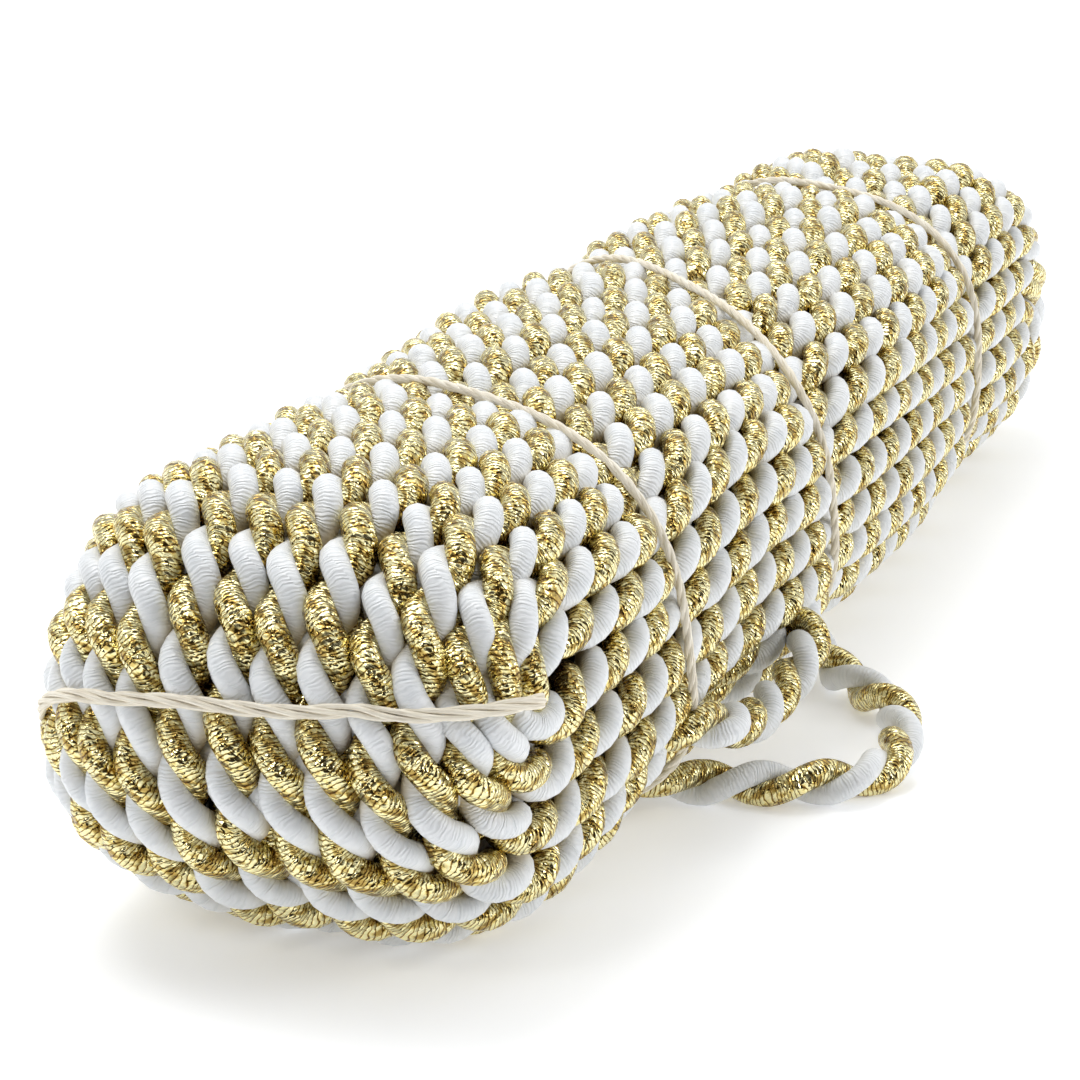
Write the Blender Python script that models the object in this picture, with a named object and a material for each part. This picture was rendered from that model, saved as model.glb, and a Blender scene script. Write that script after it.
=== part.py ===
"""Hank of two-ply twisted cord, wound lengthwise in upright turns and tied with thin cotton twine.

Metres, +Z up. The hank lies along Y with its thicker end at -Y, and the origin is at the
middle of its base. All sizes below are in millimetres.
"""

import bpy
import numpy as np

MM = 0.001

# Cord and winding
CORD_D = 6.0
HANK_LENGTH = 268.8
NEAR_SIZE = (68.1, 59.3)  # width and height at the thick end
MIDDLE_SIZE = (68.5, 54.8)
FAR_SIZE = (58.2, 52.3)
ROUNDNESS = 3.4  # exponent of the section's superellipse between the ties
ROUNDNESS_AT_TIE = 2.7
ROUNDED_REACH = 15.0
TURNS = 16  # turns that show, counted from one flank over the top to the other
STEPS_PER_TURN = 4
VALLEY_DEPTH = 1.7
SHOULDER_DEPTH = 0.45
BASE_SINK = 0.6  # presses the lowest turns flat
NEAR_EYE_AHEAD = 7.0  # the near end's inner turns reach this much further out
EYE_DEPTH = 4.0
EYE_WIDTH = 4.0
# Turns, counted from the +X flank, and how many places the near end's eyes push them apart
EYE_OPENS_AT = (0.0, 0.5, 15.5, 16.0)
EYE_OPENS_BY = (0.0, 0.5, -0.5, 0.0)
EYE_FADE = 0.7
# Turns, and how many places further each one comes down the near end, as a winding does
DRIFT_AT = (0.0, 1.0, 4.0, 7.0, 9.0, 12.0, 15.0, 16.0)
DRIFT_BY = (0.0, 0.0, 0.4, 0.85, 1.0, 0.9, 0.3, 0.0)
DRIFT_TOP_ANGLE = 50.0
DRIFT_ANGLES = 90.0
DRIFT_REACH = 45.0  # along the lower runs, until they are back in their own places
# The turns slant: how far they lie round the section, up on the +X side, at places along Y
SLANT_Y = (-105.0, -70.0, -30.0, 10.0, 60.0, 108.0)
SLANT = (8.0, 7.8, 9.5, 6.5, 2.0, -1.5)

# Ties
TWINE_D = 1.4
TWINE_SIDES = 6
TWINE_LIFT = 1.6  # from the groove's floor to the twine's centre
GROOVE_DEPTH = 3.35
GROOVE_SPREAD = 2.6
GROOVE_ROW = 4.0
# Each tie's place along Y at mid section, and how far its +X side, its top and its upper +X
# corner lie beyond that
TIES = {
    "tie_loop_near": (-69.0, -2.0, 7.0, -12.0),
    "tie_loop_middle": (1.0, -11.0, 11.0, -18.0),
    "tie_loop_far": (79.0, -5.0, 6.0, -7.0),
}
RING_POINTS = 64
# Places of the near end's twine, from the +X flank to the other, and its degrees up the turn
BAND_AT = (0.0, 0.12, 0.3, 0.5, 0.62, 0.8, 1.0)
BAND_ANGLES = (3.5, 7.7, 18.0, 17.3, 16.3, 21.3, 23.0)
BAND_GROOVE = 2.0
BAND_GROOVE_START = 0.07  # share of the profile where the groove begins, and where it is full
BAND_GROOVE_FULL = 0.2
BAND_END = 0.05  # share of the profile left free at each flank
BAND_POINTS = 40

# Rows of the hank's grid
ROWS_BETWEEN_TIES = (3, 6, 7, 3)
BAND_ROW = 17.0  # this row and its neighbours follow the near end's twine
BAND_ROWS = (28.0, BAND_ROW, 7.0)
NEAR_TURN_ANGLES = (74, 58, 43, *BAND_ROWS, -8, -24, -40, -57, -74)
FAR_TURN_ANGLES = (72, 54, 36, 18, 0, -18, -36, -54, -72)

# Cords that lie free, as points along their middle lines
LOOSE_BIGHT = [
    (30.2, -58.0, 3.0),
    (32.8, -56.6, 3.0),
    (36.5, -55.2, 3.0),
    (42.3, -53.0, 3.0),
    (47.2, -50.3, 3.0),
    (51.0, -46.0, 3.0),
    (52.4, -39.0, 3.0),
    (50.6, -29.0, 3.0),
    (45.8, -20.6, 3.0),
    (39.0, -14.8, 3.0),
    (33.4, -10.0, 3.2),
]
SLACK_RUN = [
    (36.7, -66.2, 15.9),
    (36.8, -62.5, 14.3),
    (36.8, -57.0, 12.6),
    (36.8, -51.7, 11.4),
    (36.8, -43.0, 11.5),
    (36.9, -36.5, 12.3),
    (37.1, -32.0, 14.0),
]
CORD_POINTS = {"loose_bight": 60, "slack_run": 36}
CORD_SIDES = 14
PLY_RADIUS = 1.65
TWIST_PITCH = 14.0
FLOOR_GAP = 0.02
SPLINE_STEPS = 24  # between two points of a route

# Colour, roughness and metallic of each sub-part
LOOKS = {
    "gold_white_cord": ((0.62, 0.52, 0.30, 1.0), 0.45, 0.35),
    "cotton_twine": ((0.80, 0.74, 0.62, 1.0), 0.9, 0.0),
}

NEAR_CENTRE_Y = -HANK_LENGTH / 2 + NEAR_SIZE[1] / 2
FAR_CENTRE_Y = HANK_LENGTH / 2 - FAR_SIZE[1] / 2
PROFILE_SAMPLES = 4001
HALF_GIRTH = 106.0  # from one flank's middle over the top to the other's
profiles = {}


def clear_scene():
    for ob in list(bpy.data.objects):
        bpy.data.objects.remove(ob, do_unlink=True)


def material(name):
    colour, roughness, metallic = LOOKS[name]
    found = bpy.data.materials.get(name)
    if found:
        return found
    made = bpy.data.materials.new(name)
    made.use_nodes = True
    shader = made.node_tree.nodes["Principled BSDF"]
    shader.inputs["Base Color"].default_value = colour
    shader.inputs["Roughness"].default_value = roughness
    shader.inputs["Metallic"].default_value = metallic
    return made


def along(y):
    """Share of the way from the near turn's centre to the far one's."""
    return min(max((y - NEAR_CENTRE_Y) / (FAR_CENTRE_Y - NEAR_CENTRE_Y), 0.0), 1.0)


def half_size(y):
    """Half width and half height of the section, through the three given sizes."""
    f = along(y)
    near, middle, far = (1 - f) * (1 - 2 * f), 4 * f * (1 - f), f * (2 * f - 1)
    return [
        (near * a + middle * b + far * c) / 2
        for a, b, c in zip(NEAR_SIZE, MIDDLE_SIZE, FAR_SIZE)
    ]


def exponent(y):
    """The section is rounder where a tie draws its corners in."""
    drawn = sum(np.exp(-(((y - tie[0]) / ROUNDED_REACH) ** 2)) for tie in TIES.values())
    return round(ROUNDNESS - (ROUNDNESS - ROUNDNESS_AT_TIE) * min(drawn, 1.0), 3)


def profile(n, u):
    """Point (X, R) of a unit superellipse's upper half, u running evenly from +X to -X."""
    if n not in profiles:
        t = np.linspace(0, np.pi, PROFILE_SAMPLES)
        x = np.sign(np.cos(t)) * np.abs(np.cos(t)) ** (2 / n)
        r = np.abs(np.sin(t)) ** (2 / n)
        steps = np.hypot(np.diff(x) * MIDDLE_SIZE[0], np.diff(r) * MIDDLE_SIZE[1])
        run = np.concatenate([[0], np.cumsum(steps)])
        profiles[n] = (run / run[-1], x, r)
    run, x, r = profiles[n]
    return float(np.interp(u, run, x)), float(np.interp(u, run, r))


def lean(y, which):
    """How far the rows near the ties lean along Y, fading out at both ends."""
    places = [NEAR_CENTRE_Y, *(tie[0] for tie in TIES.values()), FAR_CENTRE_Y]
    leans = [0.0, *(tie[which] for tie in TIES.values()), 0.0]
    return float(np.interp(y, places, leans))


def run_point(girth, y, inward):
    """Point of the hank's outer form where the turn at a place on the girth passes y.

    girth runs from -1 to 1: 0 is the middle of the +X side, and 0.5 the middle of the top.
    """
    n = exponent(y)
    half_w, half_h = half_size(y)
    girth += float(np.interp(y, SLANT_Y, SLANT)) / HALF_GIRTH
    girth = (girth + 1) % 2 - 1
    side = -1 if girth < 0 else 1
    x, r = profile(n, abs(girth))
    normal = np.array([np.sign(x) * abs(x) ** (n - 1) / half_w, r ** (n - 1) / half_h])
    normal /= np.linalg.norm(normal)
    leans = lean(y, 1) * x + lean(y, 2) * side * r + lean(y, 3) * x * side * r
    across = half_w * x - normal[0] * inward
    up = half_h + side * (half_h * r - normal[1] * inward)
    return np.array([across, y + leans, up])


def eased(share):
    share = min(max(share, 0.0), 1.0)
    return share * share * (3 - 2 * share)


def near_place(u, angle):
    """Place on the girth of a turn at an angle up the near end."""
    turn = u * TURNS
    opened = np.interp(turn, EYE_OPENS_AT, EYE_OPENS_BY)
    opened *= max(np.cos(np.radians(angle)), 0.0) ** EYE_FADE
    drift = np.interp(turn, DRIFT_AT, DRIFT_BY) * eased((DRIFT_TOP_ANGLE - angle) / DRIFT_ANGLES)
    return u + float(opened + drift) / TURNS


def low_place(u, y):
    """Place on the girth of a turn's lower run, back in its own place past the near end."""
    drift = np.interp(u * TURNS, DRIFT_AT, DRIFT_BY)
    return u + float(drift) * (1 - eased((y - NEAR_CENTRE_Y) / DRIFT_REACH)) / TURNS


def turn_point(girth, y, angle, inward):
    """Point of a turn around the end whose centre is at y, at an angle above mid height."""
    if y < 0:
        girth = near_place(girth, angle)
    upper, lower = run_point(girth, y, inward), run_point(-girth, y, inward)
    middle, reach = (upper + lower) / 2, (upper - lower) / 2
    radius = np.linalg.norm(reach)
    outward = np.array([0.0, -1.0 if y < 0 else 1.0, 0.0])
    if y < 0:
        ahead = NEAR_EYE_AHEAD * max(1 - 2 * radius / NEAR_SIZE[1], 0.0)
        radius += ahead * np.cos(np.radians(angle))
    turn = np.radians(angle)
    return middle + outward * radius * np.cos(turn) + reach * np.sin(turn)


def straight_rows():
    """Place along Y and groove depth of each row between the two end turns."""
    ties = [tie[0] for tie in TIES.values()]
    starts = [NEAR_CENTRE_Y, *(y + GROOVE_ROW for y in ties)]
    ends = [*(y - GROOVE_ROW for y in ties), FAR_CENTRE_Y]
    rows = []
    for start, end, count in zip(starts, ends, ROWS_BETWEEN_TIES):
        rows += [float(y) for y in np.linspace(start, end, count + 1)]
    rows = sorted(rows + ties)
    grooves = [
        GROOVE_DEPTH * sum(np.exp(-(((y - tie) / GROOVE_SPREAD) ** 2)) for tie in ties)
        for y in rows
    ]
    return list(zip(rows, grooves))


def ring_rows():
    """The rows around the hank: along the top, down the far end, back and up the near end."""
    straight = straight_rows()
    top = [(y, 1, None, groove) for y, groove in straight]
    far = [(FAR_CENTRE_Y, 1, angle, 0.0) for angle in FAR_TURN_ANGLES]
    bottom = [(y, -1, None, groove) for y, groove in reversed(straight)]
    near = [(NEAR_CENTRE_Y, 1, angle, 0.0) for angle in reversed(NEAR_TURN_ANGLES)]
    return top, far, bottom, near


def band_groove(u):
    """Depth of the groove under the near end's twine, fading out towards the flanks."""
    share = (min(u, 1 - u) - BAND_GROOVE_START) / (BAND_GROOVE_FULL - BAND_GROOVE_START)
    share = min(max(share, 0.0), 1.0)
    return BAND_GROOVE * share * share * (3 - 2 * share)


def band_angle(u):
    return float(np.interp(u, BAND_AT, BAND_ANGLES))


def hank_mesh():
    """One closed grid of the wound form, with a ridge for each turn that shows."""
    ridge = (VALLEY_DEPTH, SHOULDER_DEPTH, 0.0, SHOULDER_DEPTH)
    top, far, bottom, near = ring_rows()
    rows = top + far + bottom + near
    columns = TURNS * STEPS_PER_TURN
    verts, ids = [], {}

    def vertex(key, point):
        if key not in ids:
            ids[key] = len(verts)
            point[2] = max(point[2] - BASE_SINK, 0.0)
            verts.append(tuple(point * MM))
        return ids[key]

    def pole_key(row):
        if row < len(top):
            return row
        if row < len(top) + len(far):
            return len(top) - 1
        if row < len(top) + len(far) + len(bottom):
            return len(top) + len(far) + len(bottom) - 1 - row
        return 0

    grid = []
    for column in range(columns + 1):
        u = column / columns
        at_pole = column in (0, columns)
        line = []
        for index, (y, side, angle, groove) in enumerate(rows):
            key = (column, pole_key(index) if at_pole else index)
            if angle == BAND_ROW:
                groove = band_groove(u)
            if angle in BAND_ROWS:
                angle += band_angle(u) - BAND_ROW
            inward = ridge[column % STEPS_PER_TURN] + groove
            if at_pole:
                y = rows[key[1]][0]
                from_eye = (y - NEAR_CENTRE_Y) / EYE_WIDTH
                inward += EYE_DEPTH * np.exp(-(from_eye**2))
                point = run_point(u, y, inward)
            elif angle is None:
                place = u if side > 0 else -low_place(u, y)
                point = run_point(place, y, inward)
            else:
                point = turn_point(u, y, angle, inward)
            line.append(vertex(key, point))
        grid.append(line)
    faces = []
    for left, right in zip(grid, grid[1:]):
        for k in range(len(rows)):
            m = (k + 1) % len(rows)
            corners = list(dict.fromkeys([left[k], left[m], right[m], right[k]]))
            if len(corners) > 2:
                faces.append(corners)
    return verts, faces


def tube(points, radius, sides, closed):
    """Closed tube along points, its first side kept turned the same way along it."""
    points = np.array(points)
    if closed:
        ahead = np.roll(points, -1, 0) - np.roll(points, 1, 0)
    else:
        ahead = np.gradient(points, axis=0)
    ahead /= np.linalg.norm(ahead, axis=1)[:, None]
    middle = points.mean(0)
    verts, faces = [], []
    for point, way in zip(points, ahead):
        out = point - middle
        out -= way * out.dot(way)
        out /= np.linalg.norm(out)
        across = np.cross(way, out)
        for k in range(sides):
            t = 2 * np.pi * k / sides
            verts.append(tuple((point + radius * (np.cos(t) * out + np.sin(t) * across)) * MM))
    count = len(points)
    for i in range(count if closed else count - 1):
        j = (i + 1) % count
        for k in range(sides):
            m = (k + 1) % sides
            faces.append([i * sides + k, i * sides + m, j * sides + m, j * sides + k])
    if not closed:
        faces.append([k for k in reversed(range(sides))])
        faces.append([(count - 1) * sides + k for k in range(sides)])
    return verts, faces


def add_mesh(name, verts, faces, look):
    mesh = bpy.data.meshes.new(name)
    mesh.from_pydata(verts, [], faces)
    mesh.validate()
    mesh.update()
    mesh.materials.append(material(look))
    ob = bpy.data.objects.new(name, mesh)
    bpy.context.scene.collection.objects.link(ob)
    return ob


def tie_ring(tie):
    """Middle line of one tie, in the groove of its own row."""
    inward = GROOVE_DEPTH - TWINE_LIFT
    half = RING_POINTS // 2
    points = []
    for side, shares in ((1, range(half)), (-1, range(half, 0, -1))):
        for share in shares:
            point = run_point(side * share / half, tie[0], inward)
            points.append(point - np.array([0, 0, BASE_SINK]))
    return points


def band_line():
    """Middle line of the twine across the near end, from one flank's eye to the other's."""
    points = []
    for u in np.linspace(BAND_END, 1 - BAND_END, BAND_POINTS):
        inward = band_groove(u) - TWINE_LIFT
        point = turn_point(float(u), NEAR_CENTRE_Y, band_angle(u), inward)
        points.append(point - np.array([0, 0, BASE_SINK]))
    return points


def smooth_route(route, count):
    """Evenly spaced points of a Catmull-Rom curve through a route's own points."""
    p = np.array(route)
    p = np.vstack([2 * p[0] - p[1], p, 2 * p[-1] - p[-2]])
    dense = []
    for a, b, c, d in zip(p, p[1:], p[2:], p[3:]):
        for t in np.linspace(0, 1, SPLINE_STEPS, endpoint=False):
            bend = 2 * a - 5 * b + 4 * c - d
            dense.append(b + (t * (c - a) + t**2 * bend + t**3 * (3 * b - 3 * c + d - a)) / 2)
    dense.append(p[-2])
    dense = np.array(dense)
    run = np.concatenate([[0], np.cumsum(np.linalg.norm(np.diff(dense, axis=0), axis=1))])
    even = np.linspace(0, run[-1], count)
    line = np.stack([np.interp(even, run, dense[:, k]) for k in range(3)], 1)
    line[:, 2] = np.maximum(line[:, 2], CORD_D / 2 + FLOOR_GAP)
    return line


def cord_outline(turned):
    """Outline of two plies side by side, turned about the cord's middle, as (across, out)."""
    offset = CORD_D / 2 - PLY_RADIUS
    points = []
    for k in range(CORD_SIDES):
        t = 2 * np.pi * k / CORD_SIDES
        reach = offset * abs(np.cos(t))
        reach += np.sqrt(PLY_RADIUS**2 - (offset * np.sin(t)) ** 2)
        points.append((reach * np.cos(t + turned), reach * np.sin(t + turned)))
    return points


def add_cord(name, route):
    """Two-ply cord along a route, its left-hand twist raised."""
    line = smooth_route(route, CORD_POINTS[name])
    ahead = np.gradient(line, axis=0)
    ahead /= np.linalg.norm(ahead, axis=1)[:, None]
    step = np.linalg.norm(line[1] - line[0])
    verts, faces = [], []
    across = np.cross(ahead[0], (0.0, 0.0, 1.0))
    for i, (point, way) in enumerate(zip(line, ahead)):
        across -= way * across.dot(way)
        across /= np.linalg.norm(across)
        out = np.cross(way, across)
        for x, y in cord_outline(-2 * np.pi * i * step / TWIST_PITCH):
            verts.append(tuple((point + x * across + y * out) * MM))
    for i in range(len(line) - 1):
        for k in range(CORD_SIDES):
            m = (k + 1) % CORD_SIDES
            ring, after = i * CORD_SIDES, (i + 1) * CORD_SIDES
            faces.append([ring + k, ring + m, after + m, after + k])
    faces.append([k for k in reversed(range(CORD_SIDES))])
    faces.append([(len(line) - 1) * CORD_SIDES + k for k in range(CORD_SIDES)])
    add_mesh(name, verts, faces, "gold_white_cord")


clear_scene()
hank = hank_mesh()
add_mesh("hank", *hank, "gold_white_cord")
for tie_name, tie_place in TIES.items():
    ring = tube(tie_ring(tie_place), TWINE_D / 2, TWINE_SIDES, True)
    add_mesh(tie_name, *ring, "cotton_twine")
band = tube(band_line(), TWINE_D / 2, TWINE_SIDES, False)
add_mesh("tie_band_near_end", *band, "cotton_twine")
add_cord("loose_bight", LOOSE_BIGHT)
add_cord("slack_run", SLACK_RUN)
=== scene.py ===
"""Looks of a hank of two-ply twisted cord, gold and white, wound lengthwise and tied with twine.

The shape functions repeat the ones that made the solids. Sizes are in millimetres, except
where a name or a comment says otherwise.
"""

import bpy
import numpy as np
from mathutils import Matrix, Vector


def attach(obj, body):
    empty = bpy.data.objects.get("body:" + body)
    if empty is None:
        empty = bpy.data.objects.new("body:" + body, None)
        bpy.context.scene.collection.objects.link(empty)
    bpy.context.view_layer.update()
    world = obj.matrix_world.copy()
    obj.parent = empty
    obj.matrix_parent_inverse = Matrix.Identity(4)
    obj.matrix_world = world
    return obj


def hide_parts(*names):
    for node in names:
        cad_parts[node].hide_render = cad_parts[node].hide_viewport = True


MM = 0.001
BODY = "root"
FULL_TURN = 2 * np.pi

# Camera, fitted to the photograph
CAMERA_AZIMUTH = 23.47
CAMERA_ELEVATION = 19.62
CAMERA_AIM = (-1.62, -37.62, 27.0)
CAMERA_DISTANCE = 488.7
CAMERA_LENS = 114.1
SENSOR = 36.0
CLIP = (0.02, 20.0)  # metres

# Cord and winding, as in the solids
CORD_D = 6.0
HANK_LENGTH = 268.8
NEAR_SIZE = (68.1, 59.3)
MIDDLE_SIZE = (68.5, 54.8)
FAR_SIZE = (58.2, 52.3)
ROUNDNESS = 3.4
ROUNDNESS_AT_TIE = 2.7
ROUNDED_REACH = 15.0
TURNS = 16
BASE_SINK = 0.6
NEAR_EYE_AHEAD = 7.0
EYE_OPENS_AT = (0.0, 0.5, 15.5, 16.0)
EYE_OPENS_BY = (0.0, 0.5, -0.5, 0.0)
EYE_FADE = 0.7
DRIFT_AT = (0.0, 1.0, 4.0, 7.0, 9.0, 12.0, 15.0, 16.0)
DRIFT_BY = (0.0, 0.0, 0.4, 0.85, 1.0, 0.9, 0.3, 0.0)
DRIFT_TOP_ANGLE = 50.0
DRIFT_ANGLES = 90.0
DRIFT_REACH = 45.0
SLANT_Y = (-105.0, -70.0, -30.0, 10.0, 60.0, 108.0)
SLANT = (8.0, 7.8, 9.5, 6.5, 2.0, -1.5)
TWINE_D = 1.4
TIES = {
    "tie_loop_near": (-69.0, -2.0, 7.0, -12.0),
    "tie_loop_middle": (1.0, -11.0, 11.0, -18.0),
    "tie_loop_far": (79.0, -5.0, 6.0, -7.0),
}
BAND_AT = (0.0, 0.12, 0.3, 0.5, 0.62, 0.8, 1.0)
BAND_ANGLES = (3.5, 7.7, 18.0, 17.3, 16.3, 21.3, 23.0)
BAND_END = 0.05
LOOSE_BIGHT = [
    (30.2, -58.0, 3.0),
    (32.8, -56.6, 3.0),
    (36.5, -55.2, 3.0),
    (42.3, -53.0, 3.0),
    (47.2, -50.3, 3.0),
    (51.0, -46.0, 3.0),
    (52.4, -39.0, 3.0),
    (50.6, -29.0, 3.0),
    (45.8, -20.6, 3.0),
    (39.0, -14.8, 3.0),
    (33.4, -10.0, 3.2),
]
SLACK_RUN = [
    (36.7, -66.2, 15.9),
    (36.8, -62.5, 14.3),
    (36.8, -57.0, 12.6),
    (36.8, -51.7, 11.4),
    (36.8, -43.0, 11.5),
    (36.9, -36.5, 12.3),
    (37.1, -32.0, 14.0),
]
NEAR_CENTRE_Y = -HANK_LENGTH / 2 + NEAR_SIZE[1] / 2
FAR_CENTRE_Y = HANK_LENGTH / 2 - FAR_SIZE[1] / 2
HALF_GIRTH = 106.0
PROFILE_SAMPLES = 4001

# Where each free cord goes on inside the hank, at its two ends
BIGHT_TAILS = [(23.0, -64.0, 6.0), (26.5, -61.0, 4.5)], [(29.5, -6.5, 4.6), (26.0, -3.5, 6.0)]
SLACK_TAILS = [(30.5, -75.5, 17.8), (33.2, -70.6, 16.6)], [(35.6, -28.0, 15.0), (32.0, -22.5, 16.0)]
BIGHT_PHASE = 0.45
SLACK_PHASE = 1.0

# Plies
PITCH = 14.3  # length of cord that holds one whole turn of the twist
BIGHT_PITCH = 17.0  # the loose bight has untwisted a little
PLY_OFFSET = 1.5
WHITE_PLY_RADIUS = 1.80
GOLD_PLY_RADIUS = 1.90
STEPS_PER_PITCH = 13
PLY_SIDES = 12
CORD_INSET = 3.0  # from the hank's form to the middle of its outer cord
LOWEST_LINE = 2.9
LOWEST_SURFACE = 0.03
TIE_PRESS = 1.8  # how far the ties draw the cord in
TIE_PRESS_SPREAD = 4.0
TIE_EASE = 1.5  # how much less the near tie draws in at the lower +X corner
TIE_EASE_AT = -0.23
TIE_EASE_SPREAD = 0.14
BAND_PRESS = 1.2
BAND_PRESS_SPREAD = 3.5
BAND_FLANKS = (0.04, 0.16)  # share of the profile where the twine starts to bear on the cord
# Hollow behind the slack run: its place along Y, its turn, its reach of each, and its depth
HOLLOW_Y = -48.0
HOLLOW_TURN = 4.0
HOLLOW_REACH = (12.0, 1.0)
HOLLOW_DEPTH = 6.5
# Unevenness: of a turn's line across and out, of its twist, and of the size of its plies
LINE_WOBBLE = 0.28
LINE_WAVES = (60.0, 45.0)
PHASE_WOBBLE = 0.3
PHASE_WAVE = 90.0
SIZE_WOBBLE = 0.03
SMOOTHED_OVER = 2  # steps along a turn
# Degrees up the near end at which each turn has its white ply outwards, from the +X flank
WHITE_OUT_ANGLES = (-33, -11, 0.5, -22, -20, -10, -10.5, -6, -9.5, -20, -13, -5, -12, -8, -15, -30)

# Inner layer, which shows between the outer turns
INNER_INSET = 7.4
INNER_STEPS_PER_PITCH = 9
INNER_SIDES = 8
INNER_ANGLES = (-60, 60)  # between which each inner turn has its white ply outwards
CORE_INSET = 9.6
CORE_COLUMNS = 40

# Free cords
FREE_STEPS_PER_PITCH = 18
FREE_SIDES = 16
FREE_OFFSET = 1.45
FREE_RADII = (1.72, 1.80)

# Twine, a few strands laid round each other
TWINE_SIDES = 8
TWINE_STEPS_PER_LAY = 20
TWINE_SMOOTHED_OVER = 3
TWINE_UNEVEN = 0.05
TWINE_UNEVEN_WAVE = 6.0
TIE_STRANDS = 3
TIE_STRAND_RADIUS = 0.42
TIE_SPREAD = (0.26, 0.26)  # out from the hank and along it
TIE_LAY = 8.0
TWINE_INSET = 1.1
RING_HALF = 60
BAND_STRANDS = 4
BAND_STRAND_RADIUS = 0.36
BAND_SPREAD = (0.24, 0.56)
BAND_LAY = 24.0
BAND_RISE = 0.9
BAND_POINTS = 60

ROW_STEP = 3.0
TURN_STEP = 7.5
SPLINE_STEPS = 24
TURN_ANGLES = np.arange(-90.0, 90.0, TURN_STEP)
TOP_Y = np.arange(NEAR_CENTRE_Y, FAR_CENTRE_Y, ROW_STEP)

rng = np.random.default_rng(11)
profiles = {}

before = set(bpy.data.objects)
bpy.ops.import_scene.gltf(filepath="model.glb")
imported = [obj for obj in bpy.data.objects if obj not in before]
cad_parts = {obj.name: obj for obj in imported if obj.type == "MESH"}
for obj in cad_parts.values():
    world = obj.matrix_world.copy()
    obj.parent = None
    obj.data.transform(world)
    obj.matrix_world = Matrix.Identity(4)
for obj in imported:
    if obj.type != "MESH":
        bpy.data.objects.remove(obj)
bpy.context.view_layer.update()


# Camera


def add_camera():
    a, e = np.radians(CAMERA_AZIMUTH), np.radians(CAMERA_ELEVATION)
    look = Vector((-np.sin(a) * np.cos(e), np.cos(a) * np.cos(e), -np.sin(e)))
    data = bpy.data.cameras.new("camera")
    data.lens = CAMERA_LENS
    data.sensor_width = SENSOR
    data.clip_start, data.clip_end = CLIP
    camera = bpy.data.objects.new("camera", data)
    camera.location = Vector(CAMERA_AIM) * MM - look * CAMERA_DISTANCE * MM
    camera.rotation_euler = look.to_track_quat("-Z", "Y").to_euler()
    bpy.context.scene.collection.objects.link(camera)
    bpy.context.scene.camera = camera


# Form of the hank


def along(y):
    """Share of the way from the near turn's centre to the far one's."""
    return min(max((y - NEAR_CENTRE_Y) / (FAR_CENTRE_Y - NEAR_CENTRE_Y), 0.0), 1.0)


def half_size(y):
    """Half width and half height of the section, through the three given sizes."""
    f = along(y)
    near, middle, far = (1 - f) * (1 - 2 * f), 4 * f * (1 - f), f * (2 * f - 1)
    return [
        (near * a + middle * b + far * c) / 2
        for a, b, c in zip(NEAR_SIZE, MIDDLE_SIZE, FAR_SIZE)
    ]


def exponent(y):
    """The section is rounder where a tie draws its corners in."""
    drawn = sum(np.exp(-(((y - tie[0]) / ROUNDED_REACH) ** 2)) for tie in TIES.values())
    return round(ROUNDNESS - (ROUNDNESS - ROUNDNESS_AT_TIE) * min(drawn, 1.0), 3)


def profile(n, u):
    """Point (X, R) of a unit superellipse's upper half, u running evenly from +X to -X."""
    if n not in profiles:
        t = np.linspace(0, np.pi, PROFILE_SAMPLES)
        x = np.sign(np.cos(t)) * np.abs(np.cos(t)) ** (2 / n)
        r = np.abs(np.sin(t)) ** (2 / n)
        steps = np.hypot(np.diff(x) * MIDDLE_SIZE[0], np.diff(r) * MIDDLE_SIZE[1])
        run = np.concatenate([[0], np.cumsum(steps)])
        profiles[n] = (run / run[-1], x, r)
    run, x, r = profiles[n]
    return float(np.interp(u, run, x)), float(np.interp(u, run, r))


def lean(y, which):
    """How far the rows near the ties lean along Y, fading out at both ends."""
    places = [NEAR_CENTRE_Y, *(tie[0] for tie in TIES.values()), FAR_CENTRE_Y]
    leans = [0.0, *(tie[which] for tie in TIES.values()), 0.0]
    return float(np.interp(y, places, leans))


def run_point(girth, y, inward):
    """Point of the hank's form where the turn at a place on the girth passes y."""
    n = exponent(y)
    half_w, half_h = half_size(y)
    girth += float(np.interp(y, SLANT_Y, SLANT)) / HALF_GIRTH
    girth = (girth + 1) % 2 - 1
    side = -1 if girth < 0 else 1
    x, r = profile(n, abs(girth))
    normal = np.array([np.sign(x) * abs(x) ** (n - 1) / half_w, r ** (n - 1) / half_h])
    normal /= np.linalg.norm(normal)
    leans = lean(y, 1) * x + lean(y, 2) * side * r + lean(y, 3) * x * side * r
    across = half_w * x - normal[0] * inward
    up = half_h + side * (half_h * r - normal[1] * inward)
    return np.array([across, y + leans, up])


def eased(share):
    share = np.clip(share, 0.0, 1.0)
    return share * share * (3 - 2 * share)


def near_place(u, angle):
    """Place on the girth of a turn at an angle up the near end."""
    turn = u * TURNS
    opened = np.interp(turn, EYE_OPENS_AT, EYE_OPENS_BY)
    opened *= max(np.cos(np.radians(angle)), 0.0) ** EYE_FADE
    drift = np.interp(turn, DRIFT_AT, DRIFT_BY) * eased((DRIFT_TOP_ANGLE - angle) / DRIFT_ANGLES)
    return u + float(opened + drift) / TURNS


def low_place(u, y):
    """Place on the girth of a turn's lower run, back in its own place past the near end."""
    drift = np.interp(u * TURNS, DRIFT_AT, DRIFT_BY)
    return u + float(drift) * (1 - eased((y - NEAR_CENTRE_Y) / DRIFT_REACH)) / TURNS


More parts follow.
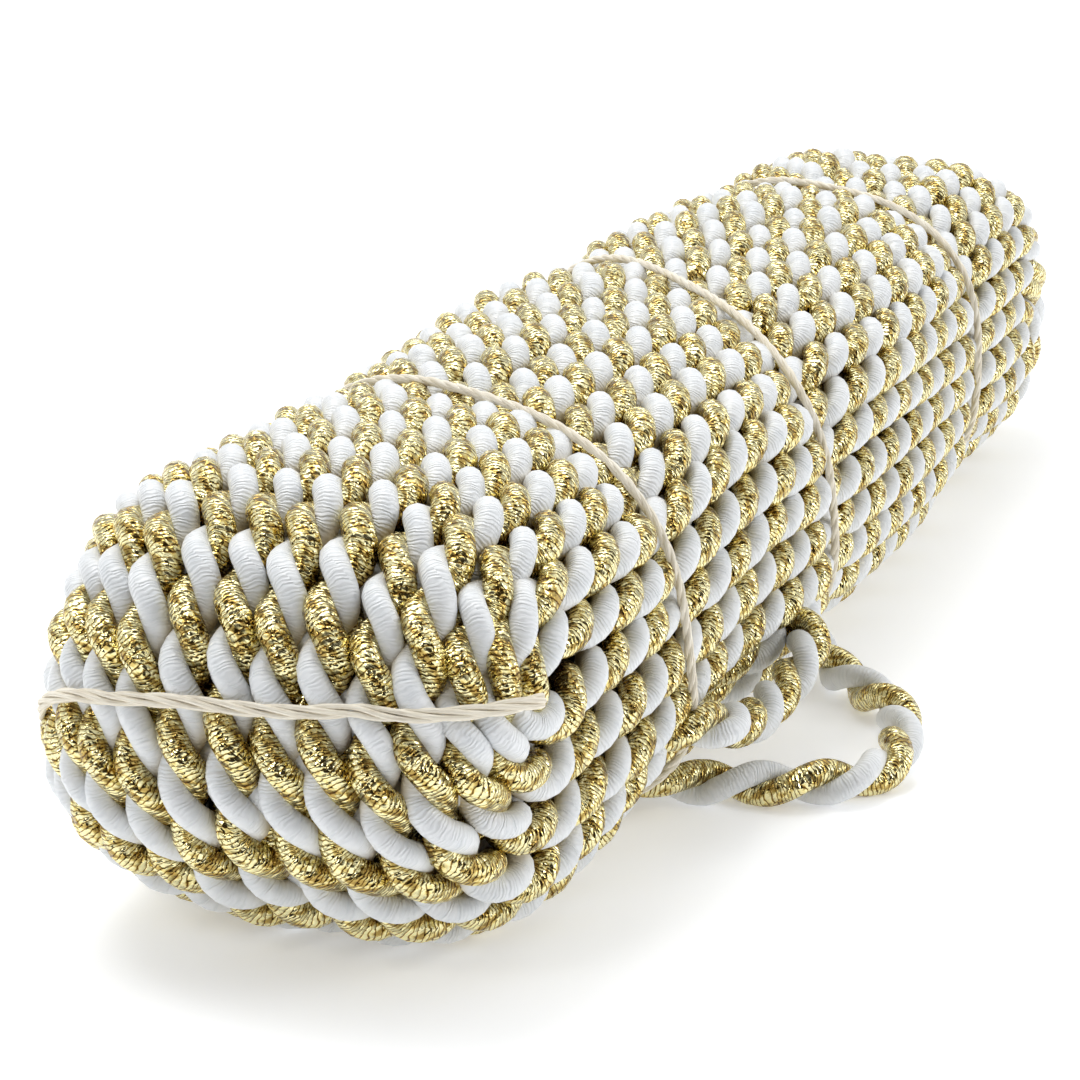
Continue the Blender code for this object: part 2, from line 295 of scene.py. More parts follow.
def turn_point(girth, y, angle, inward):
    """Point of a turn around the end whose centre is at y, at an angle above mid height."""
    if y < 0:
        girth = near_place(girth, angle)
    upper, lower = run_point(girth, y, inward), run_point(-girth, y, inward)
    middle, reach = (upper + lower) / 2, (upper - lower) / 2
    radius = np.linalg.norm(reach)
    outward = np.array([0.0, -1.0 if y < 0 else 1.0, 0.0])
    if y < 0:
        ahead = NEAR_EYE_AHEAD * max(1 - 2 * radius / NEAR_SIZE[1], 0.0)
        radius += ahead * np.cos(np.radians(angle))
    turn = np.radians(angle)
    return middle + outward * radius * np.cos(turn) + reach * np.sin(turn)


def band_angle(u):
    return float(np.interp(u, BAND_AT, BAND_ANGLES))


def band_bears(u):
    """Share of its full hold that the near end's twine has on the turn at u."""
    start, full = BAND_FLANKS
    return float(eased((min(u, 1 - u) - start) / (full - start)))


def tie_ease(name, place):
    """How much less a tie draws in at a place on the girth."""
    if name != "tie_loop_near":
        return 0.0
    return TIE_EASE * np.exp(-(((place - TIE_EASE_AT) / TIE_EASE_SPREAD) ** 2))


def tie_press(y, place):
    press = 0.0
    for name, tie in TIES.items():
        share = np.exp(-(((y - tie[0]) / TIE_PRESS_SPREAD) ** 2))
        press += share * (TIE_PRESS - tie_ease(name, place))
    return press


def hollow(u, y):
    """Extra depth of the lower runs behind the slack run."""
    away = ((y - HOLLOW_Y) / HOLLOW_REACH[0]) ** 2
    away += ((u * TURNS - HOLLOW_TURN) / HOLLOW_REACH[1]) ** 2
    return HOLLOW_DEPTH * np.exp(-away)


def band_press(u, angle):
    away = np.radians(angle - band_angle(u)) * NEAR_SIZE[1] / 2
    return BAND_PRESS * band_bears(u) * np.exp(-((away / BAND_PRESS_SPREAD) ** 2))


def turn_rows(u):
    """Rows of one closed turn, from the foot of its near end: girth, y, angle, extra inset."""
    rows = [(u, NEAR_CENTRE_Y, angle, band_press(u, angle)) for angle in TURN_ANGLES]
    rows += [(u, y, None, tie_press(y, u)) for y in TOP_Y]
    rows += [(u, FAR_CENTRE_Y, -angle, 0.0) for angle in TURN_ANGLES]
    low = FAR_CENTRE_Y - (TOP_Y - NEAR_CENTRE_Y)
    for y in low:
        place = -low_place(u, y)
        rows.append((place, y, None, tie_press(y, place) + hollow(u, y)))
    return rows


def turn_line(u, inset):
    """Middle line of one closed turn and the outward way at each of its points."""
    points, ways = [], []
    for girth, y, angle, press in turn_rows(u):
        pair = []
        for inward in (inset + press, inset + press - 1.0):
            if angle is None:
                pair.append(run_point(girth, y, inward))
            else:
                pair.append(turn_point(girth, y, angle, inward))
        points.append(pair[0])
        ways.append(pair[1] - pair[0])
    points, ways = np.array(points), np.array(ways)
    points[:, 2] = np.maximum(points[:, 2] - BASE_SINK, LOWEST_LINE)
    return points, unit(ways)


# Lines


def unit(vectors):
    return vectors / np.linalg.norm(vectors, axis=1)[:, None]


def arc_lengths(points, closed):
    after = np.roll(points, -1, 0) if closed else points[1:]
    steps = np.linalg.norm(after - points[: len(after)], axis=1)
    return np.concatenate([[0], np.cumsum(steps)])


def smooth_loop(values, width):
    """Values along a closed line, evened out over a few neighbours."""
    shifts = np.arange(-3 * width, 3 * width + 1)
    kernel = np.exp(-((shifts / width) ** 2))
    kernel /= kernel.sum()
    return sum(share * np.roll(values, shift, 0) for shift, share in zip(shifts, kernel))


def loop_noise(count, length, wave):
    """Smooth noise along a closed line, about one in size."""
    terms = max(int(length / wave), 1)
    t = np.arange(count) / count * FULL_TURN
    total = np.zeros(count)
    for harmonic in range(1, terms + 1):
        total += rng.normal() * np.sin(harmonic * t + rng.uniform(0, FULL_TURN))
    return total / np.sqrt(terms / 2)


def resampled(line, out, closed, count):
    """A line and its outward ways at evenly spaced places, and those places."""
    run = arc_lengths(line, closed)
    places = np.arange(count) * run[-1] / (count if closed else count - 1)
    if closed:
        line, out = np.vstack([line, line[:1]]), np.vstack([out, out[:1]])
    line = np.stack([np.interp(places, run, line[:, a]) for a in range(3)], 1)
    out = np.stack([np.interp(places, run, out[:, a]) for a in range(3)], 1)
    return line, out, places


def ways_ahead(line, closed):
    if closed:
        return unit(np.roll(line, -1, 0) - np.roll(line, 1, 0))
    return unit(np.gradient(line, axis=0))


def squared(out, ahead):
    """Outward ways made square to the line, and the ways across it."""
    out = unit(out - ahead * np.sum(out * ahead, axis=1)[:, None])
    return out, np.cross(ahead, out)


def carried_frames(line):
    """Frames that follow an open line without turning round it."""
    ahead = ways_ahead(line, False)
    across = np.cross(ahead[0], (0.0, 0.0, 1.0))
    outs, sides = [], []
    for way in ahead:
        across = across - way * across.dot(way)
        across /= np.linalg.norm(across)
        sides.append(across)
        outs.append(np.cross(across, way))
    return np.array(outs), np.array(sides)


def smooth_route(route, spacing):
    """Evenly spaced points of a Catmull-Rom curve through a route's own points."""
    p = np.array(route)
    p = np.vstack([2 * p[0] - p[1], p, 2 * p[-1] - p[-2]])
    dense = []
    for a, b, c, d in zip(p, p[1:], p[2:], p[3:]):
        for t in np.linspace(0, 1, SPLINE_STEPS, endpoint=False):
            bend = 2 * a - 5 * b + 4 * c - d
            dense.append(b + (t * (c - a) + t**2 * bend + t**3 * (3 * b - 3 * c + d - a)) / 2)
    dense.append(p[-2])
    dense = np.array(dense)
    run = arc_lengths(dense, False)
    even = np.linspace(0, run[-1], int(run[-1] / spacing) + 1)
    return np.stack([np.interp(even, run, dense[:, k]) for k in range(3)], 1)


# Meshes


END_ANGLES = (85.0, 60.0, 30.0)  # of the rings that round off an open end


def tube_rings(middles, ways_out, radius, sides, closed):
    """Rings square to a line, the first side of each ring facing out."""
    ahead = ways_ahead(middles, closed)
    out, side = squared(ways_out, ahead)
    radius = np.asarray(radius) * np.ones(len(middles))
    if not closed:
        ends = np.radians(END_ANGLES)
        shrink, push = np.cos(ends), np.sin(ends)
        first = [middles[0] - ahead[0] * radius[0] * p for p in push]
        last = [middles[-1] + ahead[-1] * radius[-1] * p for p in push[::-1]]
        middles = np.vstack([first, middles, last])
        count = len(ends)
        out = np.vstack([out[:1]] * count + [out] + [out[-1:]] * count)
        side = np.vstack([side[:1]] * count + [side] + [side[-1:]] * count)
        radius = np.concatenate([radius[0] * shrink, radius, radius[-1] * shrink[::-1]])
    t = FULL_TURN * np.arange(sides) / sides
    reach = np.cos(t)[None, :, None] * out[:, None, :] + np.sin(t)[None, :, None] * side[:, None, :]
    return middles[:, None, :] + radius.reshape(-1, 1, 1) * reach


class Shell:
    """Gathers tubes into one mesh with lengthwise and crosswise texture places."""

    def __init__(self):
        self.verts, self.faces, self.places, self.depths, self.looks = [], [], [], [], []
        self.count = 0

    def add(self, rings, girth, depth, closed, look=0):
        count, sides = rings.shape[:2]
        lengths = arc_lengths(rings.mean(1), closed)
        self.verts.append(rings.reshape(-1, 3))
        self.depths.append(depth.reshape(-1))
        last = count if closed else count - 1
        i = np.arange(last)[:, None]
        k = np.arange(sides)[None, :]
        j, m = (i + 1) % count, (k + 1) % sides
        quad = np.stack([i * sides + k, i * sides + m, j * sides + m, j * sides + k], -1)
        self.faces.append(quad.reshape(-1, 4) + self.count)
        self.looks.append(np.full(last * sides, look, dtype=np.int32))
        u0, u1 = lengths[i] + 0 * k, lengths[i + 1] + 0 * k
        v0, v1 = girth * k / sides + 0 * i, girth * (k + 1) / sides + 0 * i
        corners = [np.stack(p, -1) for p in ((u0, v0), (u0, v1), (u1, v1), (u1, v0))]
        self.places.append(np.stack(corners, -2).reshape(-1, 2))
        self.count += count * sides

    def finish(self, name, looks, node_slot):
        verts = np.concatenate(self.verts) * MM
        faces = np.concatenate(self.faces)
        mesh = bpy.data.meshes.new(name)
        mesh.vertices.add(len(verts))
        mesh.vertices.foreach_set("co", verts.ravel())
        mesh.loops.add(faces.size)
        mesh.loops.foreach_set("vertex_index", faces.ravel().astype(np.int32))
        mesh.polygons.add(len(faces))
        mesh.polygons.foreach_set("loop_start", np.arange(0, faces.size, 4, dtype=np.int32))
        mesh.polygons.foreach_set("use_smooth", np.ones(len(faces), dtype=bool))
        mesh.polygons.foreach_set("material_index", np.concatenate(self.looks))
        layer = mesh.uv_layers.new(name="along")
        layer.data.foreach_set("uv", np.concatenate(self.places).ravel())
        depth = mesh.attributes.new("depth", "FLOAT", "POINT")
        depth.data.foreach_set("value", np.concatenate(self.depths))
        for look in looks:
            mesh.materials.append(look)
        mesh.update(calc_edges=True)
        mesh.validate()
        piece = bpy.data.objects.new(name, mesh)
        bpy.context.scene.collection.objects.link(piece)
        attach(piece, BODY)
        return piece


def add_plies(shells, line, out, across, twist, closed, sides, offset, radii, looks=(0, 0)):
    """A white ply and a gold one round a line, each into its own shell."""
    for shell, half, radius, look in zip(shells, (0.0, np.pi), radii, looks):
        way = np.cos(twist + half)[:, None] * out + np.sin(twist + half)[:, None] * across
        middles = line + offset * way
        size = radius * (1 + SIZE_WOBBLE * rng.normal())
        rings = tube_rings(middles, way, size, sides, closed)
        extra = (len(rings) - len(line)) // 2
        centres = np.pad(line, ((extra, extra), (0, 0)), mode="edge")
        outs = np.pad(out, ((extra, extra), (0, 0)), mode="edge")
        if closed:
            depth = np.sum((rings - centres[:, None, :]) * outs[:, None, :], axis=2)
        else:
            depth = np.linalg.norm(rings - centres[:, None, :], axis=2)
        rings[:, :, 2] = np.maximum(rings[:, :, 2], LOWEST_SURFACE)
        shell.add(rings, FULL_TURN * radius, depth, closed, look)


def turn_plies(shells, u, inset, white_out_angle, steps, sides):
    """The two plies of one closed turn of the winding."""
    raw, raw_out = turn_line(u, inset)
    run = arc_lengths(raw, True)
    length = run[-1]
    whole = round(length / PITCH)
    count = whole * steps
    line, out, s = resampled(raw, raw_out, True, count)
    line, out = smooth_loop(line, SMOOTHED_OVER), smooth_loop(out, SMOOTHED_OVER)
    out, across = squared(out, ways_ahead(line, True))
    for way, wave in zip((across, out), LINE_WAVES):
        line = line + way * (LINE_WOBBLE * loop_noise(count, length, wave))[:, None]
    start = float(np.interp(white_out_angle, TURN_ANGLES, run[: len(TURN_ANGLES)]))
    low_start = run[2 * len(TURN_ANGLES) + len(TOP_Y)]
    spare = length / PITCH - whole
    turns = (s - start) / PITCH - spare * eased((s - low_start) / (length - low_start))
    wobble = loop_noise(count, length, PHASE_WAVE)
    wobble = wobble - np.interp(start, s, wobble)
    twist = -FULL_TURN * turns + PHASE_WOBBLE * wobble
    radii = (WHITE_PLY_RADIUS, GOLD_PLY_RADIUS)
    add_plies(shells, line, out, across, twist, True, sides, PLY_OFFSET, radii)


# Materials

MIX_SHARE, MIX_A, MIX_B, MIX_RESULT = 0, 6, 7, 2  # a Mix node's own sockets for colours


class Nodes:
    """Short calls for a node tree."""

    def __init__(self, name):
        self.material = bpy.data.materials.new(name)
        self.material.use_nodes = True
        self.tree = self.material.node_tree
        self.shader = self.tree.nodes["Principled BSDF"]

    def set(self, **values):
        for socket, value in values.items():
            self.shader.inputs[socket.replace("_", " ")].default_value = value

    def add(self, kind):
        return self.tree.nodes.new(kind)

    def feed(self, socket, value):
        if isinstance(value, bpy.types.NodeSocket):
            self.tree.links.new(value, socket)
        else:
            socket.default_value = (*value, 1.0) if isinstance(value, tuple) else value

    def math(self, operation, a, b=None, c=None):
        node = self.add("ShaderNodeMath")
        node.operation = operation
        for socket, value in zip(node.inputs, (a, b, c)):
            if value is not None:
                self.feed(socket, value)
        return node.outputs[0]

    def smooth(self, value, start, end):
        """Nought below start and one above end, eased between."""
        node = self.add("ShaderNodeMapRange")
        node.interpolation_type = "SMOOTHSTEP"
        self.feed(node.inputs["Value"], value)
        self.feed(node.inputs["From Min"], start)
        self.feed(node.inputs["From Max"], end)
        return node.outputs[0]

    def mix(self, share, a, b):
        node = self.add("ShaderNodeMix")
        node.data_type = "RGBA"
        for socket, value in ((MIX_SHARE, share), (MIX_A, a), (MIX_B, b)):
            self.feed(node.inputs[socket], value)
        return node.outputs[MIX_RESULT]

    def ramp(self, value, stops):
        node = self.add("ShaderNodeValToRGB")
        ramp = node.color_ramp
        while len(ramp.elements) < len(stops):
            ramp.elements.new(0.5)
        for element, (place, colour) in zip(ramp.elements, stops):
            element.position = place
            element.color = (*colour, 1.0)
        self.feed(node.inputs[0], value)
        return node.outputs[0]

    def split(self, vector):
        node = self.add("ShaderNodeSeparateXYZ")
        self.feed(node.inputs[0], vector)
        return node.outputs[0], node.outputs[1]

    def places(self):
        """Distances along and round a ply, in millimetres."""
        uv = self.add("ShaderNodeUVMap")
        uv.uv_map = "along"
        return self.split(uv.outputs[0])

    def vector(self, x, y):
        node = self.add("ShaderNodeCombineXYZ")
        self.feed(node.inputs[0], x)
        self.feed(node.inputs[1], y)
        return node.outputs[0]

    def stretched(self, x, y, stretch):
        return self.vector(*(self.math("MULTIPLY", v, by) for v, by in zip((x, y), stretch)))

    def noise(self, vector, scale, detail):
        node = self.add("ShaderNodeTexNoise")
        node.inputs["Scale"].default_value = scale
        node.inputs["Detail"].default_value = detail
        self.feed(node.inputs["Vector"], vector)
        return node.outputs[0]

    def object_place(self):
        return self.add("ShaderNodeTexCoord").outputs["Object"]

    def depth(self):
        """Distance out from the middle of the cord, in millimetres."""
        node = self.add("ShaderNodeAttribute")
        node.attribute_name = "depth"
        return node.outputs["Fac"]

    def bump(self, height, distance, strength=1.0):
        node = self.add("ShaderNodeBump")
        node.inputs["Strength"].default_value = strength
        node.inputs["Distance"].default_value = distance
        self.feed(node.inputs["Height"], height)
        return node.outputs[0]

    def link(self, socket, value):
        self.feed(self.shader.inputs[socket], value)


BUMP = 0.24 * MM  # height of the relief of both plies, in metres

# The gold ply. Lengths are in millimetres along the ply and round it.
GOLD_WRAP = 0.5  # width of one turn of the metal strip round its ply
GOLD_FACET = (0.85, 0.72)  # size of a crumpled facet along the ply and round it
GOLD_GAP = 0.6  # share of a wrap's half width where its painted shade begins
# How the wraps wander: stretch along and round, noise scale and detail, and reach
GOLD_BENDS = (((0.3, 0.25), 1.0, 0.0, 1.5), ((1.0, 0.5), 1.6, 1.0, 0.42))
GOLD_CRUMPLE = (5.3, 1.3)  # from wrap to wrap and round the ply
GOLD_GLINT = (0.34, 0.66)
GOLD_PATCH = (0.8, 1.0)
GOLD_PATCH_NOISE = (0.75, 1.5)
GOLD_PATCH_EDGES = (0.36, 0.55)
GOLD_GRAIN_SCALE = 3600.0
GOLD_RELIEF = {"crown": 0.36, "facets": 1.9, "tilt": 1.5, "grain": 0.12}
GOLD_FACET_TILT_ROUND = 1.2
GOLD_LEAST_SHADE = 0.34
GOLD_PATCH_SHADE = 0.6
# painted shade in the gaps between the wraps
GOLD_GAP_PAINTED_SHADE = -0.92
# painted shade, darker towards the inside of the cord: depths where it is full and where it ends
GOLD_PAINTED_SHADE_INSIDE = (-2.6, 0.8)
GOLD_ROUGHNESS = (0.14, 0.14)  # at the least, and by how much more on a glint
GOLD_STOPS = [
    (0.0, (0.05, 0.02, 0.003)),
    (0.2, (0.22, 0.115, 0.02)),
    (0.45, (0.57, 0.42, 0.13)),
    (0.7, (0.82, 0.7, 0.305)),
    (1.0, (0.93, 0.86, 0.51)),
]


def facet_heights(n, bent, round_mm):
    """Height of crumpled facets, each tilted its own way."""
    cells = n.add("ShaderNodeTexVoronoi")
    cells.voronoi_dimensions = "2D"
    cells.inputs["Scale"].default_value = 1.0
    place = n.vector(
        n.math("DIVIDE", bent, GOLD_FACET[0]), n.math("DIVIDE", round_mm, GOLD_FACET[1])
    )
    n.feed(cells.inputs["Vector"], place)
    chance = n.add("ShaderNodeSeparateColor")
    n.feed(chance.inputs[0], cells.outputs["Color"])
    inside = n.add("ShaderNodeVectorMath")
    inside.operation = "SUBTRACT"
    n.feed(inside.inputs[0], place)
    n.feed(inside.inputs[1], cells.outputs["Position"])
    inside_u, inside_v = n.split(inside.outputs[0])
    tilt_u = n.math("MULTIPLY", n.math("SUBTRACT", chance.outputs[0], 0.5), inside_u)
    tilt_v = n.math("MULTIPLY", n.math("SUBTRACT", chance.outputs[1], 0.5), inside_v)
    return n.math("MULTIPLY_ADD", tilt_v, GOLD_FACET_TILT_ROUND, tilt_u)


def gold_material():
    """Flat metal strips wound round the ply, crumpled, with painted shade in the gaps between them
    and towards the inside of the cord.
    """
    n = Nodes("gold_strip_ply")
    along_mm, round_mm = n.places()
    bent = along_mm
    for stretch, scale, detail, reach in GOLD_BENDS:
        wander = n.noise(n.stretched(along_mm, round_mm, stretch), scale, detail)
        bent = n.math("MULTIPLY_ADD", wander, reach, bent)
    # Rounded wraps, each crumpled in its own way
    wrap = n.math("DIVIDE", bent, GOLD_WRAP)
    number, share = n.math("FLOOR", wrap), n.math("FRACT", wrap)
    edge = n.math("ABSOLUTE", n.math("MULTIPLY_ADD", share, 2.0, -1.0))
    crown = n.math("SUBTRACT", 1.0, n.math("POWER", edge, 2.0))
    gap = n.smooth(edge, GOLD_GAP, 1.0)
    crumple = n.stretched(number, round_mm, GOLD_CRUMPLE)
    glint = n.smooth(n.noise(crumple, 1.0, 0.0), *GOLD_GLINT)
    tilt = n.math("MULTIPLY", n.math("SUBTRACT", glint, 0.5), n.math("SUBTRACT", share, 0.5))
    patch = n.stretched(along_mm, round_mm, GOLD_PATCH)
    tone = n.smooth(n.noise(patch, *GOLD_PATCH_NOISE), *GOLD_PATCH_EDGES)
    facets = n.math("MULTIPLY", facet_heights(n, bent, round_mm), GOLD_RELIEF["facets"])
    height = n.math("MULTIPLY_ADD", crown, GOLD_RELIEF["crown"], facets)
    height = n.math("MULTIPLY_ADD", tilt, GOLD_RELIEF["tilt"], height)
    grain = n.noise(n.object_place(), GOLD_GRAIN_SCALE, 0.0)
    height = n.math("MULTIPLY_ADD", grain, GOLD_RELIEF["grain"], height)
    # Painted shade: browner in the gaps between the wraps and towards the inside of the cord
    shade = n.math("MULTIPLY_ADD", tone, GOLD_PATCH_SHADE, GOLD_LEAST_SHADE)
    shade = n.math("MULTIPLY", shade, n.math("MULTIPLY_ADD", gap, GOLD_GAP_PAINTED_SHADE, 1.0))
    shade = n.math("MULTIPLY", shade, n.smooth(n.depth(), *GOLD_PAINTED_SHADE_INSIDE))
    n.link("Base Color", n.ramp(shade, GOLD_STOPS))
    n.set(Metallic=1.0)
    least, more = GOLD_ROUGHNESS
    n.link("Roughness", n.math("MULTIPLY_ADD", glint, more, least))
    n.link("Normal", n.bump(height, BUMP))
    return n.material


# The white ply
WHITE_RIB = 0.44  # width of a crosswise rib
WHITE_RIB_RELIEF = 0.13
WHITE_STRAY = ((1.0, 0.6), 0.9, 0.0, 0.7)  # as the gold ply's bends
WHITE_LINES = ((1.0, 0.10), 2.6, 2.0)
WHITE_BROAD_SCALE = 260.0
WHITE_SHARES = (0.6, 0.4)  # of the lines and of the broad tone in its colour
WHITE_STOPS = [
    (0.3, (0.73, 0.755, 0.775)),
    (0.5, (0.82, 0.835, 0.845)),
    (0.7, (0.86, 0.87, 0.88)),
]
WHITE_PAINTED_SHADE = (0.74, 0.64, 0.45)  # painted shade, warmed by painted light reflected from the gold ply
WHITE_INSIDE_DEPTHS = (-1.6, 1.5)


def white_material():
    """Satin thread wound closely round the ply, with soft crosswise lines."""
    n = Nodes("white_satin_ply")
    along_mm, round_mm = n.places()
    stretch, scale, detail, reach = WHITE_STRAY
    stray = n.noise(n.stretched(along_mm, round_mm, stretch), scale, detail)
    bent = n.math("MULTIPLY_ADD", stray, reach, along_mm)
    stretch, scale, detail = WHITE_LINES
    lines = n.noise(n.stretched(bent, round_mm, stretch), scale, detail)
    ribs = n.math("SINE", n.math("MULTIPLY", bent, FULL_TURN / WHITE_RIB))
    broad = n.noise(n.object_place(), WHITE_BROAD_SCALE, 0.0)
    height = n.math("MULTIPLY_ADD", ribs, WHITE_RIB_RELIEF, lines)
    fine = n.math("MULTIPLY", lines, WHITE_SHARES[0])
    colour = n.ramp(n.math("MULTIPLY_ADD", broad, WHITE_SHARES[1], fine), WHITE_STOPS)
    # Painted shade and painted reflected gold light towards the inside of the cord
    inner = n.smooth(n.depth(), *WHITE_INSIDE_DEPTHS)
    n.link("Base Color", n.mix(inner, WHITE_PAINTED_SHADE, colour))
    n.set(Roughness=0.38, Specular_IOR_Level=0.5, Sheen_Weight=0.12, Sheen_Roughness=0.4)
    n.link("Normal", n.bump(height, BUMP, 0.8))
    return n.material


# The twine
TWINE_FIBRES = (0.35, 5.0)  # stretch along and round
TWINE_BUMP = 0.1 * MM
TWINE_STOPS = [
    (0.25, (0.66, 0.58, 0.45)),
    (0.5, (0.88, 0.81, 0.67)),
    (0.75, (0.93, 0.89, 0.78)),
]


def twine_material():
    n = Nodes("cream_cotton_twine")
    fibres = n.noise(n.stretched(*n.places(), TWINE_FIBRES), 1.0, 1.0)
    n.link("Base Color", n.ramp(fibres, TWINE_STOPS))
    n.set(Roughness=0.85, Sheen_Weight=0.2)
    n.link("Normal", n.bump(fibres, TWINE_BUMP, 0.6))
    return n.material


# The dark form behind the cords, painted shade for the cord deeper in the hank
CORE_PATCH_SCALE = 160.0
CORE_BUMP = 1.0 * MM
# painted shade: dark browns for the cord that lies in shadow
CORE_STOPS = [
    (0.35, (0.05, 0.028, 0.008)),
    (0.55, (0.13, 0.08, 0.028)),
    (0.7, (0.22, 0.19, 0.14)),
]


def core_material():
    n = Nodes("shaded_inner_cord")
    patch = n.noise(n.object_place(), CORE_PATCH_SCALE, 1.0)
    n.link("Base Color", n.ramp(patch, CORE_STOPS))
    n.set(Roughness=0.7)
    n.link("Normal", n.bump(patch, CORE_BUMP, 0.5))
    return n.material


# The floor
FLOOR_LOOK = (0.92, 0.93, 0.95), (0.95, 0.96, 0.975)
FLOOR_MOTTLE = (30.0, 2.0)
FLOOR_PAINTED_GLOW = 0.3  # painted glow: the floor shines by itself, lifting its shadow and lighting the hank from below


def floor_material():
    n = Nodes("pale_floor")
    n.link("Base Color", n.mix(n.noise(n.object_place(), *FLOOR_MOTTLE), *FLOOR_LOOK))
    n.set(Roughness=0.6, Emission_Color=(1.0, 1.0, 1.0, 1.0), Emission_Strength=FLOOR_PAINTED_GLOW)
    return n.material


# Pieces


def add_turns(white, gold):
    halves = {"right": range(TURNS // 2), "left": range(TURNS // 2, TURNS)}
    for name, indices in halves.items():
        shells = Shell(), Shell()
        for index in indices:
            u = (index + 0.5) / TURNS
            angle = WHITE_OUT_ANGLES[index]
            turn_plies(shells, u, CORD_INSET, angle, STEPS_PER_PITCH, PLY_SIDES)
        for shell, look, colour in zip(shells, (white, gold), ("white", "gold")):
            piece = shell.finish(f"{colour}_ply_of_{name}_turns", [look], "gold_white_cord")
            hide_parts("hank")


def add_inner_turns(white, gold):
    """The layer below, each of its turns between two outer ones."""
    shells = Shell(), Shell()
    for index in range(1, TURNS):
        angle = rng.uniform(*INNER_ANGLES)
        turn_plies(shells, index / TURNS, INNER_INSET, angle, INNER_STEPS_PER_PITCH, INNER_SIDES)
    for shell, look, colour in zip(shells, (white, gold), ("white", "gold")):
        piece = shell.finish(f"{colour}_ply_of_inner_turns", [look], "gold_white_cord")
        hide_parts("hank")


def add_core(look):
    """Dark form behind both layers, painted shade for what shows between them."""
    columns = [turn_line(u, CORE_INSET)[0] for u in np.linspace(0, 1, CORE_COLUMNS + 1)]
    grid = np.array(columns)
    shell = Shell()
    shell.add(grid, FULL_TURN * CORD_D, np.zeros(grid.shape[:2]), False)
    piece = shell.finish("inner_form", [look], "gold_white_cord")
    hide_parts("hank")


def add_free_cord(node, route, tails, looks, phase, pitch):
    line = smooth_route([*tails[0], *route, *tails[1]], PITCH / FREE_STEPS_PER_PITCH)
    out, across = carried_frames(line)
    run = arc_lengths(line, False)
    twist = phase - FULL_TURN * run / pitch
    shell = Shell()
    shells = shell, shell
    add_plies(shells, line, out, across, twist, False, FREE_SIDES, FREE_OFFSET, FREE_RADII, (0, 1))
    piece = shell.finish(f"{node}_cord", looks, "gold_white_cord")
    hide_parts(node)


def add_twine(name, line, out, closed, look, node, strands, radius, spread, lay):
    """Twine of a few strands laid round each other along a line."""
    length = arc_lengths(line, closed)[-1]
    count = int(length / (TIE_LAY / TWINE_STEPS_PER_LAY))
    line, out, places = resampled(line, out, closed, count)
    if closed:
        line, out = (smooth_loop(values, TWINE_SMOOTHED_OVER) for values in (line, out))
    out, across = squared(out, ways_ahead(line, closed))
    twist = FULL_TURN * round(length / lay) * places / length
    shell = Shell()
    for strand in range(strands):
        t = twist + FULL_TURN * strand / strands
        middles = line + spread[0] * np.cos(t)[:, None] * out
        middles = middles + spread[1] * np.sin(t)[:, None] * across
        size = radius * (1 + TWINE_UNEVEN * loop_noise(count, length, TWINE_UNEVEN_WAVE))
        rings = tube_rings(middles, out, size, TWINE_SIDES, closed)
        rings[:, :, 2] = np.maximum(rings[:, :, 2], LOWEST_SURFACE)
        shell.add(rings, FULL_TURN * radius, np.zeros(rings.shape[:2]), closed)
    piece = shell.finish(name, [look], "cotton_twine")
    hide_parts(node)


def add_ties(look):
    for name, tie in TIES.items():
        points, ways = [], []
        for share in (*range(RING_HALF), *range(-RING_HALF, 0)):
            u = share / RING_HALF
            inset = TWINE_INSET - tie_ease(name, u)
            low = run_point(u, tie[0], inset)
            points.append(low)
            ways.append(run_point(u, tie[0], inset - 1) - low)
        points = np.array(points)
        points[:, 2] = np.maximum(points[:, 2] - BASE_SINK, TWINE_D / 2)
        strands = TIE_STRANDS, TIE_STRAND_RADIUS, TIE_SPREAD, TIE_LAY
        add_twine(f"{name}_twine", points, np.array(ways), True, look, name, *strands)


def add_band(look):
    points, ways = [], []
    for u in np.linspace(BAND_END, 1 - BAND_END, BAND_POINTS):
        inward = BAND_RISE * (band_bears(u) - 1)
        low = turn_point(float(u), NEAR_CENTRE_Y, band_angle(u), inward)
        points.append(low)
        ways.append(turn_point(float(u), NEAR_CENTRE_Y, band_angle(u), inward - 1) - low)
    points = np.array(points)
    points[:, 2] -= BASE_SINK
    strands = BAND_STRANDS, BAND_STRAND_RADIUS, BAND_SPREAD, BAND_LAY
    add_twine("band_twine", points, np.array(ways), False, look, "tie_band_near_end", *strands)


# Surroundings, in metres and watts

FLOOR_HALF = 3.0
LIGHTS = {
    "key": ((-0.45, 0.25, 1.15), (0.0, 0.0, 0.02), 0.8, 8.5),
    "front": ((-0.4, -1.0, 0.95), (0.0, -0.1, 0.02), 0.35, 3.0),
    "side": ((1.1, 0.2, 0.6), (0.0, 0.0, 0.03), 0.5, 3.9),
}
WORLD_COLOUR = (0.96, 0.98, 1.0)
DIM_COLOUR = (0.03, 0.024, 0.018)  # of the room behind the camera
WORLD_STRENGTH = 1.2
HORIZON_SHARE = 0.6  # brightness at the horizon and overhead, as shares of that strength
OVERHEAD_SHARE = 1.0
DIM_FROM = 0.2  # cosines of the angles from the camera where the dimness begins and is full
DIM_FULL = 0.7


def add_floor():
    size = FLOOR_HALF
    corners = [(-size, -size, 0), (size, -size, 0), (size, size, 0), (-size, size, 0)]
    mesh = bpy.data.meshes.new("floor")
    mesh.from_pydata(corners, [], [(0, 1, 2, 3)])
    mesh.materials.append(floor_material())
    floor = bpy.data.objects.new("floor", mesh)
    bpy.context.scene.collection.objects.link(floor)


